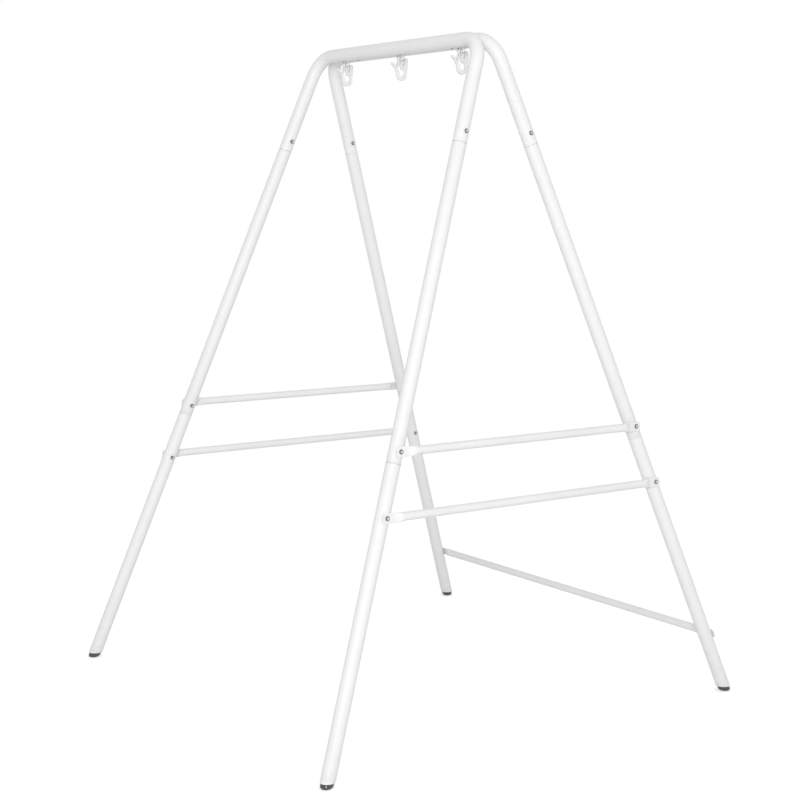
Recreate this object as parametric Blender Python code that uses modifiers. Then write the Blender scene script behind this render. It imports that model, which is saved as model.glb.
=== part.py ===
"""Hammock chair stand: a bolted A-frame of round steel tube with three hanging hooks.

Two inverted U frames stand back to back. Each is a bent top tube, two middle legs and
two lower legs, joined end to end by swaged necks. Flat-ended crossbars tie the front legs
to the rear legs, and one low bar ties the two rear legs. Three welded eyes under the top
bars carry a forged hook each, and every hook has a sprung latch across its throat.

Metres, +Z up. The origin is on the floor under the middle of the top bars. +X runs along
the top bars to the right, -Y is the front.
"""

import math

import bmesh
import bpy
from mathutils import Matrix, Vector

# Overall layout, measured on tube axes.
BAR_HEIGHT = 1.800
TOP_HALF_WIDTH = 0.392
FOOT_HALF_X = 0.660
FOOT_HALF_Y = 0.670

# Main tube.
TUBE_R = 0.019
TUBE_WALL = 0.0012
BEND_R = 0.075
BEND_STEPS = 6
TUBE_SIDES = 16
GAP = 0.0003

# Swaged joints between the leg sections. Heights are those of the joint screws.
LEG_JOINT_HEIGHT = 1.554
KNEE_JOINT_HEIGHT = 0.766
SEAM_BELOW_SCREW = 0.030
NECK_LENGTH = 0.058
NECK_GAP = 0.0006
SHOULDER = 0.0015

# Crossbars and the low bar.
CROSSBAR_R = 0.0095
CROSSBAR_WALL = 0.0010
CROSSBAR_SIDES = 10
LOWER_CROSSBAR_HEIGHT = 0.610
LOW_BAR_HEIGHT = 0.161
FLAT_HALF_WIDTH = 0.0130
FLAT_HALF_THICK = 0.0017
FLAT_OVERHANG = 0.014
FLAT_LENGTH = 0.020
FLAT_TIP_LENGTH = 0.006
FLAT_TIP_SHARE = 0.65
FLAT_SQUARENESS = 4.0
ROUND_SQUARENESS = 2.0
FLARE_LENGTH = 0.034
FLARE_SHARES = (0.30, 0.65)

# Screws and nuts, M6.
SCREW_R = 0.0030
SCREW_HOLE_R = 0.0034
SCREW_HEAD_R = 0.0062
SCREW_HEAD_HEIGHT = 0.0036
SCREW_HEAD_EDGE = 0.0010
CROWN_R_SHARE = 0.65
CROWN_HEIGHT_SHARE = 0.85
SCREW_SIDES = 8
NUT_CORNER_R = 0.0057
NUT_BORE_R = 0.0037
NUT_HEIGHT = 0.0050
NUT_SIDES = 6
SCREW_PAST_NUT = 0.0030

# Threaded inserts in the two rear legs, for the low bar's screws.
INSERT_R = 0.0048
INSERT_LENGTH = 0.0110
SCREW_PAST_INSERT = 0.0015

# Foot caps: black plugs, narrower than the tube, with a rounded lower edge.
CAP_R = 0.0168
CAP_HEIGHT = 0.0105
CAP_EDGE_R = 0.0050
CAP_SINK = 0.0015
CAP_PLUG_R = 0.0172
CAP_PLUG_BORE_R = 0.0145
CAP_PLUG_LENGTH = 0.024
CAP_RIM_STEP = 0.0010
CAP_RIM_HEIGHT = 0.0030
CAP_EDGE_STEPS = 4

# Drain holes, low on the groove side of each top bar.
DRAIN_HOLE_X = 0.228
DRAIN_HOLE_R = 0.0035
DRAIN_HOLE_ANGLE = math.radians(32.0)

# Welded hanging eyes in the groove between the two top bars.
HANGER_X = (-0.280, 0.0, 0.280)
HANGER_NAMES = ("left", "middle", "right")
EYE_WIRE_R = 0.0040
EYE_HALF_WIDTH = 0.0140
EYE_CORNER_R = 0.0070
EYE_DROP = 0.0090
EYE_CORNER_STEPS = 4
EYE_RESOLUTION = 3

# Forged hooks, drawn in the Y-Z plane about the bottom bar of their eye.
HOOK_HALF_THICK = 0.0045
HOOK_EDGE_R = 0.0016
RING_BORE_R = 0.0055
RING_R = 0.0095
RING_Z = EYE_WIRE_R + GAP - RING_BORE_R
BOWL_Y = 0.0042
BOWL_Z = -0.0388
BOWL_R = 0.0098
BELLY_Y = 0.0038
BELLY_Z = -0.0433
BELLY_R = 0.0168
NOSE_TIP_Y = -0.0294
NOSE_TIP_Z = -0.0142
NOSE_TIP_R = 0.0020
NOSE_OUTER = ((-0.0250, -0.0200), (-0.0186, -0.0272), (-0.0146, -0.0350))
NOSE_INNER = ((-0.0072, -0.0335), (-0.0108, -0.0285), (-0.0160, -0.0228), (-0.0222, -0.0171))
BACK = ((0.0202, -0.0365), (0.0217, -0.0270), (0.0229, -0.0170))
HORN_Y = 0.0180
HORN_Z = -0.0030
HORN_R = 0.0050
BACK_SLOT = ((0.0126, -0.0115), (0.0108, -0.0170), (0.0084, -0.0205), (0.0066, -0.0196),
             (0.0074, -0.0156), (0.0090, -0.0105))
NECK = ((-0.0022, -0.0114), (-0.0012, -0.0170), (-0.0002, -0.0225), (0.0010, -0.0272))

# Spring latch across each hook's throat.
PIN_Y = -0.0060
PIN_Z = -0.0075
PIN_R = 0.0012
PIN_HOLE_R = 0.0013
PIN_SIDES = 12
BOSS_R = 0.0034
TANG_HALF_THICK = 0.0012
EAR_ROOM_R = 0.0048
LATCH_HALF_WIDTH = 0.0044
LATCH_BARREL_R = 0.0032
LATCH_HALF_THICK = 0.0012
LATCH_EDGE_R = 0.0004
LATCH_NECK_ANGLE = 35.0
LATCH_BARREL_STEPS = 9
LATCH_TIP_Y = -0.0116
LATCH_TIP_Z = -0.0262
LATCH_BELLY_SHARE = 0.45
LATCH_BELLY_DEPTH = 0.0032
LATCH_SLOT_R = 0.0050
LATCH_SLOT_LEFT = 0.0015
LATCH_SLOT_RIGHT = 0.0035
SPRING_R = 0.0019
SPRING_WIRE_R = 0.0002
SPRING_PITCH = 0.0009
SPRING_TURNS = 1.5
SPRING_POINTS = 8
SPRING_START_X = 0.0018

WHITE = ("powder_white", (0.86, 0.86, 0.85), 0.35, 0.0)
BLACK = ("foot_black", (0.02, 0.02, 0.02), 0.45, 0.0)
ZINC = ("zinc_steel", (0.30, 0.30, 0.31), 0.35, 0.9)
SPRING_STEEL = ("spring_steel", (0.45, 0.45, 0.46), 0.3, 0.95)

FULL_TURN = 2.0 * math.pi
SHARP_ANGLE = math.radians(35.0)
MERGE_DISTANCE = 0.00001
CUT_REACH = 1.6

X_AXIS = Vector((1.0, 0.0, 0.0))
Y_AXIS = Vector((0.0, 1.0, 0.0))
Z_AXIS = Vector((0.0, 0.0, 1.0))
LEG_SCREWS = (("joint", LEG_JOINT_HEIGHT), ("knee", KNEE_JOINT_HEIGHT), ("crossbar", LOWER_CROSSBAR_HEIGHT))
SIDES = ((-1, "left"), (1, "right"))
ENDS = ((-1, "front"), (1, "rear"))


def clear_scene():
    for obj in list(bpy.data.objects):
        bpy.data.objects.remove(obj, do_unlink=True)
    for collection in list(bpy.data.collections):
        bpy.data.collections.remove(collection)


def new_collection(name):
    collection = bpy.data.collections.new(name)
    bpy.context.scene.collection.children.link(collection)
    return collection


def material(spec):
    name, colour, roughness, metallic = spec
    found = bpy.data.materials.get(name)
    if found:
        return found
    made = bpy.data.materials.new(name)
    made.use_nodes = True
    shader = made.node_tree.nodes["Principled BSDF"]
    shader.inputs["Base Color"].default_value = (*colour, 1.0)
    shader.inputs["Roughness"].default_value = roughness
    shader.inputs["Metallic"].default_value = metallic
    return made


def place(obj, collection, spec=None, matrix=None):
    collection.objects.link(obj)
    if spec:
        obj.data.materials.append(material(spec))
    if matrix is not None:
        obj.matrix_world = matrix
    return obj


def smooth(mesh):
    mesh.shade_smooth()
    mesh.set_sharp_from_angle(angle=SHARP_ANGLE)


def frame_matrix(origin, z_dir, x_hint):
    """A placement whose local Z is z_dir and whose local X is as near x_hint as it can be."""
    z = z_dir.normalized()
    y = z.cross(x_hint).normalized()
    x = y.cross(z)
    rotation = Matrix((x, y, z)).transposed()
    return Matrix.Translation(origin) @ rotation.to_4x4()


def turned(name, profile, sides, collection, spec=None, matrix=None):
    """Turn a (radius, height) profile round Z. It is a loop, unless it starts and ends on the axis."""
    mesh = bpy.data.meshes.new(name)
    points = [(radius, 0.0, height) for radius, height in profile]
    edges = [(i, i + 1) for i in range(len(points) - 1)]
    if profile[0][0] > 0.0:
        edges.append((len(points) - 1, 0))
    mesh.from_pydata(points, edges, [])
    obj = place(bpy.data.objects.new(name, mesh), collection, spec, matrix)
    screw = obj.modifiers.new("Turn", "SCREW")
    screw.axis = "Z"
    screw.angle = FULL_TURN
    screw.steps = sides
    screw.render_steps = sides
    screw.use_merge_vertices = True
    screw.merge_threshold = MERGE_DISTANCE
    screw.use_smooth_shade = True
    return obj


def turned_solid(profile, sides):
    """A turned solid as bmesh geometry. The (radius, height) profile runs top to bottom."""
    bm = bmesh.new()
    verts = [bm.verts.new((radius, 0.0, height)) for radius, height in profile]
    edges = [bm.edges.new((a, b)) for a, b in zip(verts, verts[1:])]
    bmesh.ops.spin(bm, geom=verts + edges, cent=(0, 0, 0), axis=(0, 0, 1), angle=FULL_TURN,
                   steps=sides, use_merge=True)
    bmesh.ops.remove_doubles(bm, verts=bm.verts, dist=MERGE_DISTANCE)
    bmesh.ops.recalc_face_normals(bm, faces=bm.faces)
    return bm


def turned_mesh(name, profile, sides, spec):
    """A mesh of a small turned solid that several objects share."""
    solid = turned_solid(profile, sides)
    mesh = bpy.data.meshes.new(name)
    solid.to_mesh(mesh)
    solid.free()
    smooth(mesh)
    mesh.materials.append(material(spec))
    return mesh


def wire(name, points, radius, resolution, collection, spec=None, caps=True):
    """A round wire or tube along the points."""
    curve = bpy.data.curves.new(name, "CURVE")
    curve.dimensions = "3D"
    curve.bevel_depth = radius
    curve.bevel_resolution = resolution
    curve.use_fill_caps = caps
    spline = curve.splines.new("POLY")
    spline.points.add(len(points) - 1)
    for target, point in zip(spline.points, points):
        target.co = (*point, 1.0)
    return curve_to_mesh(name, curve, collection, spec)


def curve_to_mesh(name, curve, collection, spec=None, matrix=None):
    """Turn a curve into a closed mesh object."""
    source = bpy.data.objects.new(name + "_curve", curve)
    bpy.context.scene.collection.objects.link(source)
    evaluated = source.evaluated_get(bpy.context.evaluated_depsgraph_get())
    mesh = bpy.data.meshes.new_from_object(evaluated)
    bpy.data.objects.remove(source, do_unlink=True)
    bpy.data.curves.remove(curve)
    bm = bmesh.new()
    bm.from_mesh(mesh)
    bmesh.ops.remove_doubles(bm, verts=bm.verts, dist=MERGE_DISTANCE)
    bmesh.ops.recalc_face_normals(bm, faces=bm.faces)
    bm.to_mesh(mesh)
    bm.free()
    mesh.name = name
    mesh.materials.clear()
    smooth(mesh)
    return place(bpy.data.objects.new(name, mesh), collection, spec, matrix)


def cylinder_cutter(name, start, end, radius, sides, collection):
    """A cylinder from start to end that only cuts."""
    axis = end - start
    bm = bmesh.new()
    bmesh.ops.create_cone(bm, cap_ends=True, segments=sides, radius1=radius, radius2=radius,
                          depth=axis.length)
    mesh = bpy.data.meshes.new(name)
    bm.to_mesh(mesh)
    bm.free()
    hint = X_AXIS if abs(axis.normalized().x) < 0.9 else Z_AXIS
    cutter = bpy.data.objects.new(name, mesh)
    return hide_cutter(place(cutter, collection, None, frame_matrix((start + end) / 2.0, axis, hint)))


def box_cutter(name, low, high, collection):
    """An upright box between two corners that only cuts."""
    bm = bmesh.new()
    bmesh.ops.create_cube(bm, size=1.0)
    bmesh.ops.scale(bm, vec=high - low, verts=bm.verts)
    mesh = bpy.data.meshes.new(name)
    bm.to_mesh(mesh)
    bm.free()
    cutter = bpy.data.objects.new(name, mesh)
    return hide_cutter(place(cutter, collection, None, Matrix.Translation((low + high) / 2.0)))


def hide_cutter(cutter):
    cutter.hide_render = True
    cutter.display_type = "WIRE"
    return cutter


def boolean(obj, tool, operation="DIFFERENCE"):
    modifier = obj.modifiers.new(operation.title(), "BOOLEAN")
    modifier.operation = operation
    modifier.object = tool
    modifier.solver = "EXACT"


def arc(centre, radius, start, end, steps):
    """Points of a circular arc in a plane, angles in degrees."""
    for i in range(steps + 1):
        angle = math.radians(start + (end - start) * i / steps)
        yield (centre[0] + radius * math.cos(angle), centre[1] + radius * math.sin(angle))


def fillet(before, corner, after, radius, steps):
    """Points of a rounded corner between two straight runs."""
    to_before = (before - corner).normalized()
    to_after = (after - corner).normalized()
    half = to_before.angle(to_after) / 2.0
    first = corner + to_before * (radius / math.tan(half))
    last = corner + to_after * (radius / math.tan(half))
    centre = corner + (to_before + to_after).normalized() * (radius / math.sin(half))
    spoke = first - centre
    turn = spoke.angle(last - centre)
    axis = spoke.cross(last - centre).normalized()
    return [centre + Matrix.Rotation(turn * i / steps, 3, axis) @ spoke for i in range(steps + 1)]


def flat_outline(name, outlines, half_thick, edge_r, collection, spec, matrix):
    """A plate cut to closed outlines in local X-Y, with rounded edges and the holes left open."""
    curve = bpy.data.curves.new(name, "CURVE")
    curve.dimensions = "2D"
    curve.fill_mode = "BOTH"
    curve.extrude = half_thick - edge_r
    curve.bevel_depth = edge_r
    curve.bevel_resolution = 0
    curve.offset = -edge_r
    for outline in outlines:
        spline = curve.splines.new("POLY")
        spline.points.add(len(outline) - 1)
        for target, point in zip(spline.points, outline):
            target.co = (point[0], point[1], 0.0, 1.0)
        spline.use_cyclic_u = True
    return curve_to_mesh(name, curve, collection, spec, matrix)


def corner_point(side, end):
    return Vector((side * TOP_HALF_WIDTH, end * TUBE_R, BAR_HEIGHT))


def foot_point(side, end):
    return Vector((side * FOOT_HALF_X, end * FOOT_HALF_Y, 0.0))


def leg_direction(side, end):
    """Unit vector down a leg's axis."""
    return (foot_point(side, end) - corner_point(side, end)).normalized()


def leg_point(side, end, height):
    """The point of a leg's axis at a height above the floor."""
    share = (BAR_HEIGHT - height) / BAR_HEIGHT
    return corner_point(side, end).lerp(foot_point(side, end), share)


def square_to_leg(side, end, wanted):
    """The direction nearest to the wanted one that is square to a leg."""
    down = leg_direction(side, end)
    return (wanted - down * wanted.dot(down)).normalized()


def seam_point(side, end, screw_height):
    return leg_point(side, end, screw_height) + leg_direction(side, end) * SEAM_BELOW_SCREW


def screw_hole(name, side, end, height, wanted, through, cutters):
    """The hole for a screw that enters a leg square to its axis, through one wall or both."""
    centre = leg_point(side, end, height)
    reach = square_to_leg(side, end, wanted) * (TUBE_R * CUT_REACH)
    start = centre - reach if through else centre
    return cylinder_cutter(name, start, centre + reach, SCREW_HOLE_R, SCREW_SIDES, cutters)


def leg_screw_holes(cutters):
    """Every screw hole of the legs, by leg and by screw."""
    holes = {}
    for side, side_name in SIDES:
        for end, end_name in ENDS:
            leg = end_name + "_" + side_name
            for label, height in LEG_SCREWS:
                holes[leg, label] = screw_hole("hole_" + label + "_" + leg, side, end, height, X_AXIS,
                                               True, cutters)
        rear_leg = "rear_" + side_name
        holes[rear_leg, "low_bar"] = screw_hole("hole_low_bar_" + rear_leg, side, 1, LOW_BAR_HEIGHT,
                                                Y_AXIS, False, cutters)
    return holes


def make_insert(side, side_name, cutters):
    """The threaded insert that joins the wall of a rear leg behind the low bar's screw."""
    seat = TUBE_R - TUBE_WALL
    profile = [(NUT_BORE_R, seat), (INSERT_R, seat), (INSERT_R, seat - INSERT_LENGTH),
               (NUT_BORE_R, seat - INSERT_LENGTH), (NUT_BORE_R, seat)]
    mesh = turned_mesh("insert_" + side_name, profile, SCREW_SIDES, WHITE)
    insert = bpy.data.objects.new("insert_" + side_name, mesh)
    return hide_cutter(place(insert, cutters, None, fastener_matrix(side, 1, LOW_BAR_HEIGHT, Y_AXIS)))


def make_top_tubes(parts, cutters, holes):
    """The two bent top tubes: a level bar with a short stub of leg at each end."""
    for end, end_name in ENDS:
        left = corner_point(-1, end)
        right = corner_point(1, end)
        left_end = seam_point(-1, end, LEG_JOINT_HEIGHT)
        right_end = seam_point(1, end, LEG_JOINT_HEIGHT)
        points = [left_end]
        points += fillet(left_end, left, right, BEND_R, BEND_STEPS)
        points += fillet(left, right, right_end, BEND_R, BEND_STEPS)
        points += [right_end]
        name = end_name + "_top_tube"
        tube = wire(name, points, TUBE_R, TUBE_SIDES // 2 - 2, parts, WHITE, caps=False)
        shell = tube.modifiers.new("Wall", "SOLIDIFY")
        shell.thickness = TUBE_WALL
        shell.offset = -1.0
        for side, side_name in SIDES:
            boolean(tube, holes[end_name + "_" + side_name, "joint"])
            centre = Vector((side * DRAIN_HOLE_X, end * TUBE_R, BAR_HEIGHT))
            out = Vector((0.0, -end * math.sin(DRAIN_HOLE_ANGLE), -math.cos(DRAIN_HOLE_ANGLE)))
            drain = cylinder_cutter("drain_" + end_name + "_" + side_name, centre,
                                    centre + out * TUBE_R * CUT_REACH, DRAIN_HOLE_R, SCREW_SIDES, cutters)
            boolean(tube, drain)


def leg_profile(length, neck):
    """A hollow leg section, from its lower end at 0 up to its seam, with a swaged neck above."""
    inner = TUBE_R - TUBE_WALL
    neck_r = inner - NECK_GAP
    neck_inner = neck_r - TUBE_WALL
    top = length
    outline = []
    if neck:
        outline += [(neck_r, top + NECK_LENGTH), (neck_r, top)]
    outline += [(TUBE_R, top - SHOULDER), (TUBE_R, 0.0), (inner, 0.0)]
    if neck:
        outline += [(inner, top - SHOULDER * 2.0), (neck_inner, top + SHOULDER)]
        outline += [(neck_inner, top + NECK_LENGTH)]
    return outline


def make_legs(parts, cutters, holes):
    """Four middle legs and four lower legs, each with a swaged neck in the section above."""
    for side, side_name in SIDES:
        for end, end_name in ENDS:
            leg = end_name + "_" + side_name
            down = leg_direction(side, end)
            joint_seam = seam_point(side, end, LEG_JOINT_HEIGHT) + down * GAP
            knee_seam = seam_point(side, end, KNEE_JOINT_HEIGHT)
            middle = turned("middle_leg_" + leg, leg_profile((knee_seam - joint_seam).length, True),
                            TUBE_SIDES, parts, WHITE, frame_matrix(knee_seam, -down, X_AXIS))
            boolean(middle, holes[leg, "joint"])
            boolean(middle, holes[leg, "knee"])
            lower_top = knee_seam + down * GAP
            lower_end = cap_seat(side, end)
            lower = turned("lower_leg_" + leg, leg_profile((lower_end - lower_top).length, True),
                           TUBE_SIDES, parts, WHITE, frame_matrix(lower_end, -down, X_AXIS))
            boolean(lower, holes[leg, "knee"])
            boolean(lower, holes[leg, "crossbar"])
            if end > 0:
                boolean(lower, make_insert(side, side_name, cutters), "UNION")
                boolean(lower, holes[leg, "low_bar"])


def cap_seat(side, end):
    """Where a leg's tube stops above its foot cap."""
    down = leg_direction(side, end)
    lean = math.acos(-down.z)
    torus = CAP_EDGE_R * math.cos(lean) - (CAP_R - CAP_EDGE_R) * math.sin(lean)
    cap_bottom = CAP_EDGE_R - CAP_SINK - torus
    return leg_point(side, end, cap_bottom) - down * (CAP_HEIGHT + GAP)


def make_foot_caps(parts, cutters):
    """Black plugs pushed into the legs, with a flat where they stand on the floor."""
    reach = 0.9
    floor = box_cutter("floor_cut", Vector((-reach, -reach, -0.05)), Vector((reach, reach, 0.0)), cutters)
    for side, side_name in SIDES:
        for end, end_name in ENDS:
            down = leg_direction(side, end)
            seat = cap_seat(side, end) + down * GAP
            outline = [(0.0, 0.0), (CAP_PLUG_BORE_R, 0.0), (CAP_PLUG_BORE_R, CAP_PLUG_LENGTH)]
            outline += [(CAP_PLUG_R, CAP_PLUG_LENGTH), (CAP_PLUG_R, 0.0)]
            outline += [(TUBE_R - CAP_RIM_STEP, 0.0), (CAP_R, -CAP_RIM_HEIGHT)]
            edge = (CAP_R - CAP_EDGE_R, -CAP_HEIGHT + CAP_EDGE_R)
            outline += list(arc(edge, CAP_EDGE_R, 0.0, -90.0, CAP_EDGE_STEPS))
            outline += [(0.0, -CAP_HEIGHT)]
            name = "foot_cap_" + end_name + "_" + side_name
            cap = turned(name, outline, TUBE_SIDES, parts, BLACK, frame_matrix(seat, -down, X_AXIS))
            boolean(cap, floor)


def flat_end_stations(length):
    """Position, half width, half thickness and squareness along a bar with both ends pressed flat."""
    flare_start = FLAT_OVERHANG + FLAT_LENGTH
    stations = [(0.0, FLAT_HALF_WIDTH * FLAT_TIP_SHARE, FLAT_HALF_THICK, FLAT_SQUARENESS),
                (FLAT_TIP_LENGTH, FLAT_HALF_WIDTH, FLAT_HALF_THICK, FLAT_SQUARENESS),
                (flare_start, FLAT_HALF_WIDTH, FLAT_HALF_THICK, FLAT_SQUARENESS)]
    for share in FLARE_SHARES:
        width = FLAT_HALF_WIDTH + (CROSSBAR_R - FLAT_HALF_WIDTH) * share
        thick = FLAT_HALF_THICK + (CROSSBAR_R - FLAT_HALF_THICK) * math.sin(share * math.pi / 2.0)
        square = FLAT_SQUARENESS + (ROUND_SQUARENESS - FLAT_SQUARENESS) * share
        stations.append((flare_start + FLARE_LENGTH * share, width, thick, square))
    stations.append((flare_start + FLARE_LENGTH, CROSSBAR_R, CROSSBAR_R, ROUND_SQUARENESS))
    far = [(length - position, width, thick, square) for position, width, thick, square in stations]
    return stations + far[::-1]


def flat_ended_bar(name, start, finish, normal, parts, cutters):
    """A round tube between two screws, its ends pressed flat square to the normal.

    The section changes from a stadium to a circle, so the wall is lofted ring by ring and
    given its thickness by Solidify.
    """
    along = (finish - start).normalized()
    length = (finish - start).length + 2.0 * FLAT_OVERHANG
    origin = start - along * FLAT_OVERHANG
    across = normal.cross(along)
    bm = bmesh.new()
    rings = []
    for position, width, thick, square in flat_end_stations(length):
        ring = []
        for i in range(CROSSBAR_SIDES):
            angle = FULL_TURN * i / CROSSBAR_SIDES
            c = math.cos(angle)
            s = math.sin(angle)
            wide = width * math.copysign(abs(c) ** (2.0 / square), c)
            deep = thick * math.copysign(abs(s) ** (2.0 / square), s)
            ring.append(bm.verts.new(along * position + across * wide + normal * deep))
        rings.append(ring)
    for near, far in zip(rings, rings[1:]):
        for i in range(CROSSBAR_SIDES):
            j = (i + 1) % CROSSBAR_SIDES
            bm.faces.new((near[i], near[j], far[j], far[i]))
    bmesh.ops.recalc_face_normals(bm, faces=bm.faces)
    mesh = bpy.data.meshes.new(name)
    bm.to_mesh(mesh)
    bm.free()
    smooth(mesh)
    bar = place(bpy.data.objects.new(name, mesh), parts, WHITE, Matrix.Translation(origin))
    shell = bar.modifiers.new("Wall", "SOLIDIFY")
    shell.thickness = CROSSBAR_WALL
    shell.offset = -1.0
    for label, centre in (("start", start), ("finish", finish)):
        reach = normal * CROSSBAR_R
        hole = cylinder_cutter("hole_" + name + "_" + label, centre - reach, centre + reach,
                               SCREW_HOLE_R, SCREW_SIDES, cutters)
        boolean(bar, hole)
    return bar


def make_crossbars(parts, cutters):
    """Two crossbars on the outer face of each A, and the low bar behind the rear legs."""
    stand_off = TUBE_R + GAP + FLAT_HALF_THICK
    for side, side_name in SIDES:
        for label, height in (("upper", KNEE_JOINT_HEIGHT), ("lower", LOWER_CROSSBAR_HEIGHT)):
            ends = []
            for end, _ in ENDS:
                out = square_to_leg(side, end, X_AXIS * side)
                ends.append(leg_point(side, end, height) + out * stand_off)
            normal = square_to_leg(side, 1, X_AXIS * side)
            normal.y = 0.0
            flat_ended_bar(side_name + "_" + label + "_crossbar", ends[0], ends[1],
                           normal.normalized(), parts, cutters)
    ends = []
    for side, _ in SIDES:
        out = square_to_leg(side, 1, Y_AXIS)
        ends.append(leg_point(side, 1, LOW_BAR_HEIGHT) + out * stand_off)
    normal = square_to_leg(1, 1, Y_AXIS)
    normal.x = 0.0
    flat_ended_bar("rear_low_bar", ends[0], ends[1], normal.normalized(), parts, cutters)


def screw_profile(seat, tail):
    """A button-head screw along Z: its head sits at the seat height, its end is at tail."""
    crown = [(0.0, seat + SCREW_HEAD_HEIGHT),
             (SCREW_HEAD_R * CROWN_R_SHARE, seat + SCREW_HEAD_HEIGHT * CROWN_HEIGHT_SHARE),
             (SCREW_HEAD_R, seat + SCREW_HEAD_EDGE)]
    return crown + [(SCREW_HEAD_R, seat), (SCREW_R, seat), (SCREW_R, tail), (0.0, tail)]


def nut_profile(seat):
    """A hexagon nut below the seat height, when turned in six steps."""
    low = seat - NUT_HEIGHT
    return [(NUT_BORE_R, seat), (NUT_CORNER_R, seat), (NUT_CORNER_R, low), (NUT_BORE_R, low),
            (NUT_BORE_R, seat)]


def fastener_matrix(side, end, height, wanted):
    """Where a screw crosses a leg: its local Z points out of the head."""
    out = square_to_leg(side, end, wanted)
    return frame_matrix(leg_point(side, end, height), out, leg_direction(side, end))


def make_fasteners(parts):
    """Screws with their heads on the outer sides and nuts inside; the low bar's screws have inserts."""
    nut_seat = -TUBE_R - GAP
    tail = nut_seat - NUT_HEIGHT - SCREW_PAST_NUT
    on_tube = TUBE_R + GAP
    on_bar = TUBE_R + 2.0 * GAP + 2.0 * FLAT_HALF_THICK
    insert_tail = TUBE_R - TUBE_WALL - INSERT_LENGTH - SCREW_PAST_INSERT
    nut = turned_mesh("nut", nut_profile(nut_seat), NUT_SIDES, ZINC)
    joint_screw = turned_mesh("joint_screw", screw_profile(on_tube, tail), SCREW_SIDES, ZINC)
    crossbar_screw = turned_mesh("crossbar_screw", screw_profile(on_bar, tail), SCREW_SIDES, ZINC)
    low_bar_screw = turned_mesh("low_bar_screw", screw_profile(on_bar, insert_tail), SCREW_SIDES, ZINC)
    for side, side_name in SIDES:
        for end, end_name in ENDS:
            leg = end_name + "_" + side_name
            for label, height in LEG_SCREWS:
                screw = joint_screw if label == "joint" else crossbar_screw
                matrix = fastener_matrix(side, end, height, X_AXIS * side)
                place(bpy.data.objects.new(label + "_screw_" + leg, screw), parts, None, matrix)
                place(bpy.data.objects.new(label + "_nut_" + leg, nut), parts, None, matrix)
        matrix = fastener_matrix(side, 1, LOW_BAR_HEIGHT, Y_AXIS)
        place(bpy.data.objects.new("low_bar_screw_" + side_name, low_bar_screw), parts, None, matrix)


def eye_points(x):
    """The centre line of a U-shaped eye: up both arms, level along the bottom."""
    groove = math.sqrt(TUBE_R ** 2 - (TUBE_R - EYE_WIRE_R) ** 2)
    top = BAR_HEIGHT - groove - GAP
    bottom = pivot_height()
    left_top = Vector((x - EYE_HALF_WIDTH, 0.0, top))
    right_top = Vector((x + EYE_HALF_WIDTH, 0.0, top))
    left = Vector((x - EYE_HALF_WIDTH, 0.0, bottom))
    right = Vector((x + EYE_HALF_WIDTH, 0.0, bottom))
    points = [left_top]
    points += fillet(left_top, left, right, EYE_CORNER_R, EYE_CORNER_STEPS)
    points += fillet(left, right, right_top, EYE_CORNER_R, EYE_CORNER_STEPS)
    return points + [right_top]


def pivot_height():
    """Height of the eye's bottom bar, about which a hook swings."""
    return BAR_HEIGHT - TUBE_R - EYE_DROP


def hook_outline():
    """The forged hook's outline in its own (Y, Z) plane, anticlockwise from the tip of its nose.

    The back rises into a horn beside the ring, and a narrow slot parts the two.
    """
    outline = list(arc((NOSE_TIP_Y, NOSE_TIP_Z), NOSE_TIP_R, 70.0, 245.0, 4))
    outline += NOSE_OUTER
    outline += arc((BELLY_Y, BELLY_Z), BELLY_R, 180.0, 360.0, 12)
    outline += BACK
    outline += arc((HORN_Y, HORN_Z), HORN_R, 0.0, 180.0, 6)
    outline += BACK_SLOT
    outline += arc((0.0, RING_Z), RING_R, -30.0, 200.0, 10)
    outline += arc((PIN_Y, PIN_Z), BOSS_R, 165.0, 262.0, 4)
    outline += NECK
    outline += arc((BOWL_Y, BOWL_Z), BOWL_R, 105.0, -180.0, 12)
    outline += NOSE_INNER
    return outline


def pin_cylinder(name, x, low, high, radius, cutters):
    """A cutter along X about a latch pin, from x + low to x + high."""
    centre = Vector((x, PIN_Y, pivot_height() + PIN_Z))
    return cylinder_cutter(name, centre + X_AXIS * low, centre + X_AXIS * high, radius, PIN_SIDES,
                           cutters)


def side_matrix(origin):
    """Places a flat outline upright: its local X points along +Y and its local Y along +Z."""
    rotation = Matrix((Y_AXIS, Z_AXIS, X_AXIS)).transposed()
    return Matrix.Translation(origin) @ rotation.to_4x4()


def make_hooks(parts, cutters):
    """Each forged hook on its welded eye, with its latch, the latch's pin and its spring."""
    ring_bore = list(arc((0.0, RING_Z), RING_BORE_R, 0.0, 330.0, 11))
    for x, name in zip(HANGER_X, HANGER_NAMES):
        wire("hanger_eye_" + name, eye_points(x), EYE_WIRE_R, EYE_RESOLUTION, parts, WHITE)
        pivot = Vector((x, 0.0, pivot_height()))
        hook = flat_outline("hook_" + name, (hook_outline(), ring_bore), HOOK_HALF_THICK, HOOK_EDGE_R,
                            parts, WHITE, side_matrix(pivot))
        outside = HOOK_HALF_THICK * CUT_REACH
        for low, high, label in ((-outside, -TANG_HALF_THICK, "a"), (TANG_HALF_THICK, outside, "b")):
            boolean(hook, pin_cylinder("ear_room_" + label + "_" + name, x, low, high, EAR_ROOM_R, cutters))
        pin_hole = pin_cylinder("pin_hole_" + name, x, -outside, outside, PIN_HOLE_R, cutters)
        boolean(hook, pin_hole)
        make_latch(x, name, pin_hole, parts, cutters)


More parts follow.
